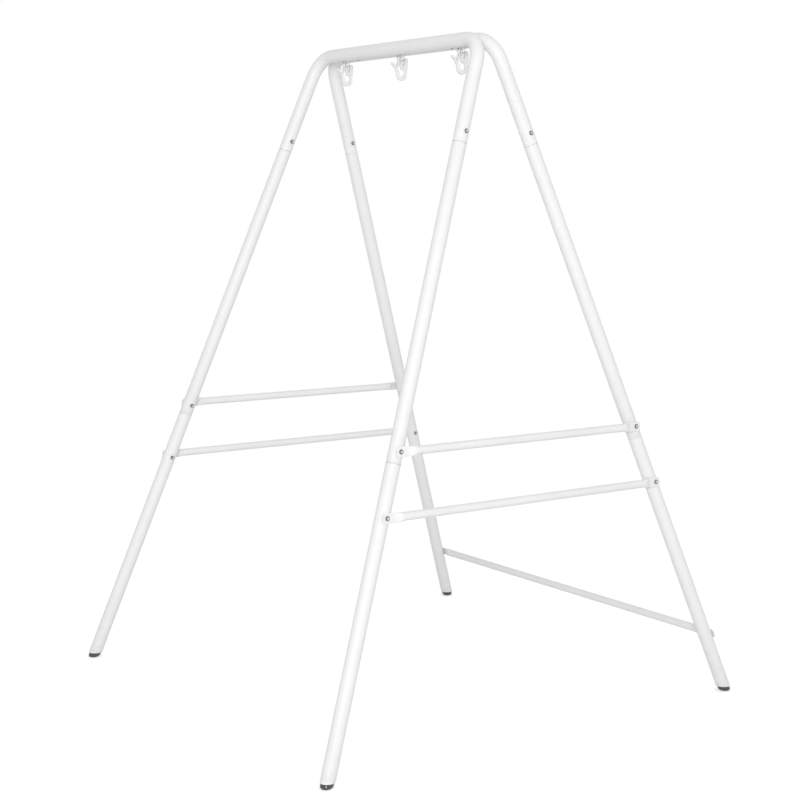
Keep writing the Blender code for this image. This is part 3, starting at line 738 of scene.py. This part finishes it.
def middle_leg(side, end, leg, paint):
    """A middle leg between its two seams, with its screw holes."""
    down = leg_direction(side, end)
    top = seam_point(side, end, LEG_JOINT_HEIGHT) + down * GAP
    bottom = seam_point(side, end, KNEE_JOINT_HEIGHT)
    tube = turned("middle_leg_" + leg + "_shown", leg_profile((bottom - top).length), TUBE_SIDES, paint,
                  frame_matrix(bottom, -down, X_AXIS))
    cut(tube, [leg_hole(side, end, LEG_JOINT_HEIGHT, X_AXIS),
               leg_hole(side, end, KNEE_JOINT_HEIGHT, X_AXIS)])
    stands_for(tube, "middle_leg_" + leg, "stand")


def lower_leg(side, end, leg, paint):
    """A lower leg, cut level above its foot cap. The rear legs also have the low bar's hole."""
    down = leg_direction(side, end)
    top = seam_point(side, end, KNEE_JOINT_HEIGHT) + down * GAP
    bottom = cap_seat(side, end) - down * GAP
    place = frame_matrix(bottom, -down, X_AXIS)
    tube = turned("lower_leg_" + leg + "_shown", leg_profile((bottom - top).length), TUBE_SIDES, paint,
                  place)
    slide_level(tube, place, CAP_PLUG_LENGTH)
    cutters = [leg_hole(side, end, KNEE_JOINT_HEIGHT, X_AXIS),
               leg_hole(side, end, LOWER_CROSSBAR_HEIGHT, X_AXIS)]
    if end > 0:
        cutters.append(leg_hole(side, end, LOW_BAR_HEIGHT, Y_AXIS, through=False))
    cut(tube, cutters)
    stands_for(tube, "lower_leg_" + leg, "stand")


def legs(paint):
    """The four middle legs and the four lower legs."""
    for side, side_name in SIDES:
        for end, end_name in ENDS:
            leg = end_name + "_" + side_name
            middle_leg(side, end, leg, paint)
            lower_leg(side, end, leg, paint)


def cap_profile():
    """A foot cap's plug, rim and round lower edge, with upright heights above the leg's end."""
    outline = [(0.0, 0.0), (CAP_PLUG_BORE_R, 0.0), (CAP_PLUG_BORE_R, CAP_PLUG_LENGTH),
               (CAP_PLUG_R, CAP_PLUG_LENGTH), (CAP_PLUG_R, 0.0), (TUBE_R - CAP_RIM_STEP, 0.0),
               (CAP_R, -CAP_RIM_HEIGHT)]
    outline += arc((CAP_R - CAP_EDGE_R, CAP_EDGE_R - CAP_HEIGHT), CAP_EDGE_R, 0.0, -90.0, FINE_STEPS)
    outline += [(0.0, -CAP_HEIGHT)]
    return outline


def foot_caps(plastic):
    """Black plugs in the legs' level ends, flat where they stand on the floor."""
    for side, side_name in SIDES:
        for end, end_name in ENDS:
            down = leg_direction(side, end)
            place = frame_matrix(cap_seat(side, end), -down, X_AXIS)
            outline = [(radius, height / -down.z) for radius, height in cap_profile()]
            outline = rounded(outline, CAP_ROUNDING, steps=2, closed=False)
            name = "foot_cap_" + end_name + "_" + side_name
            cap = turned(name + "_shown", outline, TUBE_SIDES, plastic, place)
            slide_level(cap, place, math.inf)
            stands_for(cap, name, "stand")


def flat_end_stations(length):
    """Position, half width, half thickness and squareness along a bar with both ends pressed flat."""
    flare_start = FLAT_OVERHANG + FLAT_LENGTH
    stations = []
    for i in range(FLAT_TIP_STEPS + 1):
        turn = math.pi / 2.0 * i / FLAT_TIP_STEPS
        position = FLAT_TIP_LENGTH * (1.0 - math.cos(turn))
        share = FLAT_TIP_SHARE + (1.0 - FLAT_TIP_SHARE) * math.sin(turn)
        stations.append((position, FLAT_HALF_WIDTH * share, FLAT_HALF_THICK, FLAT_SQUARENESS))
    stations.append((flare_start, FLAT_HALF_WIDTH, FLAT_HALF_THICK, FLAT_SQUARENESS))
    for i in range(1, FINE_STEPS + 1):
        share = i / FINE_STEPS
        ease = share * share * (3.0 - 2.0 * share)
        width = FLAT_HALF_WIDTH + (CROSSBAR_R - FLAT_HALF_WIDTH) * ease
        thick = FLAT_HALF_THICK + (CROSSBAR_R - FLAT_HALF_THICK) * math.sin(ease * math.pi / 2.0)
        square = FLAT_SQUARENESS + (ROUND_SQUARENESS - FLAT_SQUARENESS) * ease
        stations.append((flare_start + FLARE_LENGTH * share, width, thick, square))
    far = [(length - position, width, thick, square) for position, width, thick, square in stations]
    return stations + far[::-1]


def squared_ring(width, thick, square):
    """Points (across, deep) of an oval that grows more square with the last value."""
    points = []
    for i in range(TUBE_SIDES):
        angle = FULL_TURN * i / TUBE_SIDES
        c = math.cos(angle)
        s = math.sin(angle)
        points.append((width * math.copysign(abs(c) ** (2.0 / square), c),
                       thick * math.copysign(abs(s) ** (2.0 / square), s)))
    return points


def flat_ended_bar(node, start, finish, normal, paint):
    """A round tube between two screws, its ends pressed flat square to the normal."""
    along = (finish - start).normalized()
    length = (finish - start).length + 2.0 * FLAT_OVERHANG
    origin = start - along * FLAT_OVERHANG
    across = normal.cross(along)
    bm = bmesh.new()
    outer = []
    inner = []
    for position, width, thick, square in flat_end_stations(length):
        wall = min(CROSSBAR_WALL, thick * FLAT_WALL_SHARE)
        for kept, less in ((outer, 0.0), (inner, wall)):
            ring = []
            for wide, deep in squared_ring(width - less, thick - less, square):
                ring.append(bm.verts.new(origin + along * position + across * wide + normal * deep))
            kept.append(ring)
    join_rings(bm, outer + inner[::-1], True)
    bar = finished(node + "_shown", bm, paint)
    reach = normal * CROSSBAR_R
    cut(bar, [cutter_between(start - reach, start + reach, SCREW_HOLE_R),
              cutter_between(finish - reach, finish + reach, SCREW_HOLE_R)])
    stands_for(bar, node, "stand")


def crossbars(paint):
    """Two crossbars on each side, and the low bar behind the rear legs."""
    stand_off = TUBE_R + GAP + FLAT_HALF_THICK
    for side, side_name in SIDES:
        for label, height in (("upper", KNEE_JOINT_HEIGHT), ("lower", LOWER_CROSSBAR_HEIGHT)):
            places = []
            for end, _ in ENDS:
                out = square_to_leg(side, end, X_AXIS * side)
                places.append(leg_point(side, end, height) + out * stand_off)
            normal = square_to_leg(side, 1, X_AXIS * side)
            normal.y = 0.0
            name = side_name + "_" + label + "_crossbar"
            flat_ended_bar(name, places[0], places[1], normal.normalized(), paint)
    places = []
    for side, _ in SIDES:
        out = square_to_leg(side, 1, Y_AXIS)
        places.append(leg_point(side, 1, LOW_BAR_HEIGHT) + out * stand_off)
    normal = square_to_leg(1, 1, Y_AXIS)
    normal.x = 0.0
    flat_ended_bar("rear_low_bar", places[0], places[1], normal.normalized(), paint)


# Screws and nuts.

def thread(top, bottom):
    """The right side of a screw thread's profile, from its upper end to its lower end."""
    count = int((top - bottom) / SCREW_PITCH)
    outline = []
    for i in range(count):
        height = top - i * SCREW_PITCH
        outline += [(SCREW_R, height), (SCREW_R, height - SCREW_PITCH * THREAD_CREST),
                    (SCREW_R - SCREW_THREAD_DEPTH, height - SCREW_PITCH * THREAD_ROOT)]
    outline.append((SCREW_R, top - count * SCREW_PITCH))
    return outline


def screw_profile(seat, tail):
    """A button-head screw along Z: a domed head on the seat height and a threaded end at tail."""
    dome = SCREW_HEAD_HEIGHT - SCREW_HEAD_RIM
    crown = [(0.0, seat + SCREW_HEAD_HEIGHT)]
    for i in range(1, FINE_STEPS + 1):
        turn = math.pi / 2.0 * i / FINE_STEPS
        crown.append((SCREW_HEAD_R * math.sin(turn), seat + SCREW_HEAD_RIM + dome * math.cos(turn)))
    shank = [(SCREW_HEAD_R, seat + SCREW_HEAD_EDGE), (SCREW_HEAD_R - SCREW_HEAD_EDGE, seat),
             (SCREW_R, seat)]
    shank += thread(tail + THREAD_TOP, tail + THREAD_END)
    return crown + shank + [(SCREW_R - SCREW_THREAD_DEPTH, tail), (0.0, tail)]


def mesh_only(obj):
    """The object's mesh, for pieces that share it."""
    mesh = obj.data
    bpy.data.objects.remove(obj, do_unlink=True)
    return mesh


def nut_mesh(steel):
    """A hexagon nut with turned chamfers on both faces."""
    seat = -TUBE_R - GAP
    low = seat - NUT_HEIGHT
    flat_r = NUT_CORNER_R * math.cos(HALF_FLAT)
    chamfer = (NUT_CORNER_R - flat_r) * NUT_CHAMFER_SHARE

    def hexagon(angle):
        """The radius of the six flats, at an angle from the start of the ring."""
        return flat_r / math.cos((angle + HALF_FLAT) % (2.0 * HALF_FLAT) - HALF_FLAT)

    bm = bmesh.new()
    rings = []
    rows = ((seat, flat_r), (seat - chamfer, NUT_CORNER_R), (low + chamfer, NUT_CORNER_R), (low, flat_r))
    for height, limit in rows:
        rings.append(level_ring(bm, height, NUT_SIDES, lambda angle: min(limit, hexagon(angle)),
                                HALF_FLAT))
    for height in (low + NUT_BORE_EDGE, seat - NUT_BORE_EDGE):
        rings.append(level_ring(bm, height, NUT_SIDES, lambda angle: NUT_BORE_R, HALF_FLAT))
    join_rings(bm, rings, True)
    return mesh_only(finished("nut_source", bm, steel))


def screw_mesh(name, seat, tail, steel):
    return mesh_only(turned(name, screw_profile(seat, tail), SMALL_SIDES, steel, Matrix.Identity(4)))


def put_fastener(node, mesh, side, end, height, wanted):
    """A screw or nut through a leg at a height, square to the leg."""
    obj = put(node + "_shown", mesh)
    out = square_to_leg(side, end, wanted)
    obj.matrix_world = frame_matrix(leg_point(side, end, height), out, leg_direction(side, end))
    stands_for(obj, node, "stand")


def fasteners(steel):
    """The screws and nuts of the legs, and the two screws of the low bar."""
    nut_seat = -TUBE_R - GAP
    tail = nut_seat - NUT_HEIGHT - SCREW_PAST_NUT
    on_tube = TUBE_R + GAP
    on_bar = TUBE_R + 2.0 * GAP + 2.0 * FLAT_HALF_THICK
    insert_tail = TUBE_R - TUBE_WALL - INSERT_LENGTH - SCREW_PAST_INSERT
    nut = nut_mesh(steel)
    joint_screw = screw_mesh("joint_screw", on_tube, tail, steel)
    crossbar_screw = screw_mesh("crossbar_screw", on_bar, tail, steel)
    low_bar_screw = screw_mesh("low_bar_screw", on_bar, insert_tail, steel)
    for side, side_name in SIDES:
        for end, end_name in ENDS:
            leg = end_name + "_" + side_name
            for label, height in LEG_SCREWS:
                screw = joint_screw if label == "joint" else crossbar_screw
                put_fastener(label + "_screw_" + leg, screw, side, end, height, X_AXIS * side)
                put_fastener(label + "_nut_" + leg, nut, side, end, height, X_AXIS * side)
        put_fastener("low_bar_screw_" + side_name, low_bar_screw, side, 1, LOW_BAR_HEIGHT, Y_AXIS)


# Eyes, hooks and latches.

def groove_height(y):
    """Height of the top bars' underside at a distance y from the groove."""
    reach = TUBE_R - abs(y)
    return BAR_HEIGHT - math.sqrt(max(TUBE_R ** 2 - reach ** 2, 0.0))


def weld_bead(name, arm_x, top, weld):
    """A rippled bead round an eye's arm, along the two tubes' undersides."""
    path = []
    out = EYE_WIRE_R + WELD_SPREAD
    for i in range(WELD_STEPS):
        angle = FULL_TURN * i / WELD_STEPS
        y = out * math.sin(angle)
        height = min(groove_height(y), top) - WELD_SINK
        path.append(Vector((arm_x + out * math.cos(angle), y, height)))

    def radius_at(i):
        ripple = math.sin(FULL_TURN * WELD_RIPPLES * i / WELD_STEPS)
        return WELD_BEAD_R * (1.0 + WELD_RIPPLE_DEPTH * ripple)

    bead = swept(name, path, radius_at, WELD_SIDES, weld, closed=True)
    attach(bead, "stand")


def eye(x, name, paint, weld):
    """A U of round bar in the groove, welded to both top tubes."""
    groove = math.sqrt(TUBE_R ** 2 - (TUBE_R - EYE_WIRE_R) ** 2)
    top = BAR_HEIGHT - groove - GAP
    left_x = x - EYE_HALF_WIDTH
    right_x = x + EYE_HALF_WIDTH
    left_top = Vector((left_x, 0.0, top))
    right_top = Vector((right_x, 0.0, top))
    left = Vector((left_x, 0.0, PIVOT_HEIGHT))
    right = Vector((right_x, 0.0, PIVOT_HEIGHT))
    points = [left_top]
    points += fillet(left_top, left, right, EYE_CORNER_R, FINE_STEPS)
    points += fillet(left, right, right_top, EYE_CORNER_R, FINE_STEPS)
    points += [right_top]
    ring = swept("hanger_eye_" + name + "_shown", points, lambda i: EYE_WIRE_R, SMALL_SIDES, paint)
    stands_for(ring, "hanger_eye_" + name, "stand")
    weld_bead("weld_" + name + "_left", left_x, top, weld)
    weld_bead("weld_" + name + "_right", right_x, top, weld)


def hook_outline():
    """The forged hook's outline in its own (Y, Z) plane, anticlockwise from the tip of its nose."""
    outline = list(arc(NOSE_TIP, NOSE_TIP_R, *NOSE_TIP_TURN))
    outline += NOSE_OUTER
    outline += arc(BELLY, BELLY_R, *BELLY_TURN)
    outline += BACK
    outline += arc(HORN, HORN_R, *HORN_TURN)
    outline += BACK_SLOT
    outline += arc((0.0, RING_Z), RING_R, *RING_TURN)
    outline += arc(LATCH_PIN, BOSS_R, *BOSS_TURN)
    outline += NECK
    outline += arc(BOWL, BOWL_R, *BOWL_TURN)
    outline += NOSE_INNER
    return smoothed(outline, OUTLINE_STEPS)


def smoothed(outline, steps):
    """More points along a closed outline, on a smooth curve through the given ones."""
    made = []
    count = len(outline)
    points = [Vector(point) for point in outline]
    for i in range(count):
        p0, p1, p2, p3 = (points[(i + k) % count] for k in (-1, 0, 1, 2))
        run = (p2 - p1).length
        tangent1 = (p2 - p0).normalized() * run
        tangent2 = (p3 - p1).normalized() * run
        for step in range(steps):
            t = step / steps
            place = p1 * (2 * t ** 3 - 3 * t ** 2 + 1) + p2 * (3 * t ** 2 - 2 * t ** 3)
            lean = tangent1 * (t ** 3 - 2 * t ** 2 + t) + tangent2 * (t ** 3 - t ** 2)
            made.append(tuple(place + lean))
    return made


def plate(name, outlines, half_thick, edge_r, material_made, origin):
    """A plate in the Y-Z plane cut to closed outlines, with rounded edges and its holes left open."""
    curve = bpy.data.curves.new(name, "CURVE")
    curve.dimensions = "2D"
    curve.fill_mode = "BOTH"
    curve.extrude = half_thick - edge_r
    curve.bevel_depth = edge_r
    curve.bevel_resolution = BEVEL_STEPS
    curve.offset = -edge_r
    for outline in outlines:
        spline = curve.splines.new("POLY")
        spline.points.add(len(outline) - 1)
        for target, point in zip(spline.points, outline):
            target.co = (point[0], point[1], 0.0, 1.0)
        spline.use_cyclic_u = True
    source = put(name + "_curve", curve)
    graph = bpy.context.evaluated_depsgraph_get()
    mesh = bpy.data.meshes.new_from_object(source.evaluated_get(graph))
    bpy.data.objects.remove(source, do_unlink=True)
    bpy.data.curves.remove(curve)
    bm = bmesh.new()
    bm.from_mesh(mesh)
    bpy.data.meshes.remove(mesh)
    obj = finished(name, bm, material_made)
    rotation = Matrix((Y_AXIS, Z_AXIS, X_AXIS)).transposed()
    obj.matrix_world = Matrix.Translation(origin) @ rotation.to_4x4()
    return obj


def pin_cutter(pin, low, high, radius):
    """A cutter along the latch pin, from one distance to another."""
    return cutter_between(pin + X_AXIS * low, pin + X_AXIS * high, radius)


def hooks(paint, weld, steel, spring):
    """Each forged hook on its eye, with its latch, pin and spring."""
    bore = list(arc((0.0, RING_Z), RING_BORE_R, *RING_BORE_TURN))
    for x, name in HANGERS:
        eye(x, name, paint, weld)
        pivot = Vector((x, 0.0, PIVOT_HEIGHT))
        pin = pivot + Y_AXIS * LATCH_PIN[0] + Z_AXIS * LATCH_PIN[1]
        hook = plate("hook_" + name + "_shown", (hook_outline(), bore), HOOK_HALF_THICK, HOOK_EDGE_R,
                     paint, pivot)
        cut(hook, [pin_cutter(pin, -HOOK_OUTSIDE, -TANG_HALF_THICK, EAR_ROOM_R),
                   pin_cutter(pin, TANG_HALF_THICK, HOOK_OUTSIDE, EAR_ROOM_R),
                   pin_cutter(pin, -HOOK_OUTSIDE, HOOK_OUTSIDE, PIN_HOLE_R)])
        stands_for(hook, "hook_" + name, name + "_hook_body")
        latch(name, pin, paint)
        latch_pin(name, pin, steel)
        latch_spring(name, pin, spring)


def latch_run():
    """The way from the latch's pin to its tip, in the (Y, Z) plane."""
    return Vector((LATCH_TIP[0] - LATCH_PIN[0], LATCH_TIP[1] - LATCH_PIN[1]))


def latch(name, pin, paint):
    """The forked latch on its pin."""
    along = latch_run()
    lean = math.degrees(math.atan2(along.y, along.x))
    inward = Vector((-along.y, along.x)).normalized()
    across = inward * LATCH_HALF_THICK
    start, end, steps = LATCH_BARREL_TURN
    outline = list(arc((0.0, 0.0), LATCH_BARREL_R, lean + start, lean + end, steps))
    outline.append(tuple(along * LATCH_BELLY_SHARE - inward * LATCH_BELLY_DEPTH))
    outline += [tuple(along - across), tuple(along + across)]
    tongue = plate("latch_" + name + "_shown", (outline,), LATCH_HALF_WIDTH, LATCH_EDGE_R, paint, pin)
    cut(tongue, [pin_cutter(pin, LATCH_SLOT[0], LATCH_SLOT[1], LATCH_SLOT_R),
                 pin_cutter(pin, -HOOK_OUTSIDE, HOOK_OUTSIDE, PIN_HOLE_R)])
    stands_for(tongue, "latch_" + name, name + "_latch_body")


def latch_pin(name, pin, steel):
    """The rivet that the latch turns on."""
    end = LATCH_HALF_WIDTH
    rivet = [(0.0, end), (PIN_R - PIN_EDGE, end), (PIN_R, end - PIN_EDGE),
             (PIN_R, PIN_EDGE - end), (PIN_R - PIN_EDGE, -end), (0.0, -end)]
    shown = turned("latch_pin_" + name + "_shown", rivet, SMALL_SIDES, steel,
                   frame_matrix(pin, X_AXIS, Z_AXIS))
    stands_for(shown, "latch_pin_" + name, name + "_hook_body")


def latch_spring(name, pin, spring):
    """The coil beside the hook's tang that shuts the latch."""
    along = latch_run()
    points = spring_points(pin, math.atan2(along.y, along.x))
    coil = swept("latch_spring_" + name + "_shown", points, lambda i: SPRING_WIRE_R, WIRE_SIDES, spring)
    stands_for(coil, "latch_spring_" + name, name + "_hook_body")


def spring_points(pin, lean):
    """The torsion spring: a leg towards the latch's tip, the coil, and a leg up against the hook."""
    steps = int(SPRING_TURNS * SPRING_STEPS)
    points = []
    for i in range(steps + 1):
        angle = lean + FULL_TURN * i / SPRING_STEPS
        centre = pin + X_AXIS * (SPRING_START_X + SPRING_PITCH * i / SPRING_STEPS)
        spoke = Y_AXIS * math.cos(angle) + Z_AXIS * math.sin(angle)
        if i == 0:
            points.append(centre + spoke * (LATCH_SLOT_R - SPRING_TUCK))
        points.append(centre + spoke * SPRING_R)
        if i == steps:
            points.append(centre + spoke * (EAR_ROOM_R - SPRING_TUCK))
    return points


# Stage.

def camera():
    """The fitted camera. Its yaw turns from the rear to the left, its pitch looks down."""
    data = bpy.data.cameras.new("camera")
    data.sensor_width = CAMERA_SENSOR
    data.lens = CAMERA_LENS
    data.clip_start = CAMERA_NEAR
    data.clip_end = CAMERA_FAR
    obj = put("camera", data)
    forward = Vector((-math.sin(CAMERA_YAW) * math.cos(CAMERA_PITCH),
                      math.cos(CAMERA_YAW) * math.cos(CAMERA_PITCH), -math.sin(CAMERA_PITCH)))
    level = Vector((math.cos(CAMERA_YAW), math.sin(CAMERA_YAW), 0.0))
    rise = level.cross(forward)
    right = level * math.cos(CAMERA_ROLL) + rise * math.sin(CAMERA_ROLL)
    up = rise * math.cos(CAMERA_ROLL) - level * math.sin(CAMERA_ROLL)
    turn = Matrix((right, up, -forward)).transposed()
    obj.matrix_world = Matrix.Translation(CAMERA_PLACE) @ turn.to_4x4()
    bpy.context.scene.camera = obj


def area_light(name, place, target, size, power):
    """A round lamp that looks at its target."""
    data = bpy.data.lights.new(name, "AREA")
    data.shape = "DISK"
    data.size = size
    data.energy = power
    obj = put(name, data)
    obj.location = place
    obj.rotation_euler = (Vector(target) - Vector(place)).to_track_quat("-Z", "Y").to_euler()


def stage():
    """The floor and the one lamp."""
    half = FLOOR_HALF
    painted_corner_shade = [(-half, -half, 0.0), (half, -half, 0.0), (half, half, 0.0), (-half, half, 0.0)]
    mesh = bpy.data.meshes.new("floor")
    mesh.from_pydata(painted_corner_shade, [], [(0, 1, 2, 3)])
    mesh.materials.append(floor_material())
    floor = put("floor", mesh)
    area_light("key_light", KEY_PLACE, STAGE_CENTRE, KEY_SIZE, KEY_POWER)


def sky():
    """White to the camera and in gloss. As light it is lower, and dimmer from above and the left."""
    world = bpy.data.worlds.new("sky")
    bpy.context.scene.world = world
    world.use_nodes = True
    tree = world.node_tree
    lean = add_node(tree, "ShaderNodeVectorMath", operation="DOT_PRODUCT")
    lean.inputs[1].default_value = SKY_LEAN
    tree.links.new(add_node(tree, "ShaderNodeTexCoord").outputs["Generated"], lean.inputs[0])
    strength = add_node(tree, "ShaderNodeMapRange")
    strength.inputs["To Max"].default_value = 1.0
    light = two_values(tree, "ADD", lean.outputs["Value"], SKY_STRENGTH)
    tree.links.new(light, strength.inputs["To Min"])
    tree.links.new(seen_ray(tree), strength.inputs["Value"])
    background = tree.nodes["Background"]
    background.inputs["Color"].default_value = (1.0, 1.0, 1.0, 1.0)
    tree.links.new(strength.outputs["Result"], background.inputs["Strength"])


def main():
    bpy.context.scene.view_settings.view_transform = "Standard"
    camera()
    stage()
    sky()
    paint = powder_coat()
    weld = weld_paint()
    plastic = black_plastic()
    steel = plated_steel_painted_shade()
    spring = spring_steel()
    top_tubes(paint)
    legs(paint)
    foot_caps(plastic)
    crossbars(paint)
    fasteners(steel)
    hooks(paint, weld, steel, spring)


main()
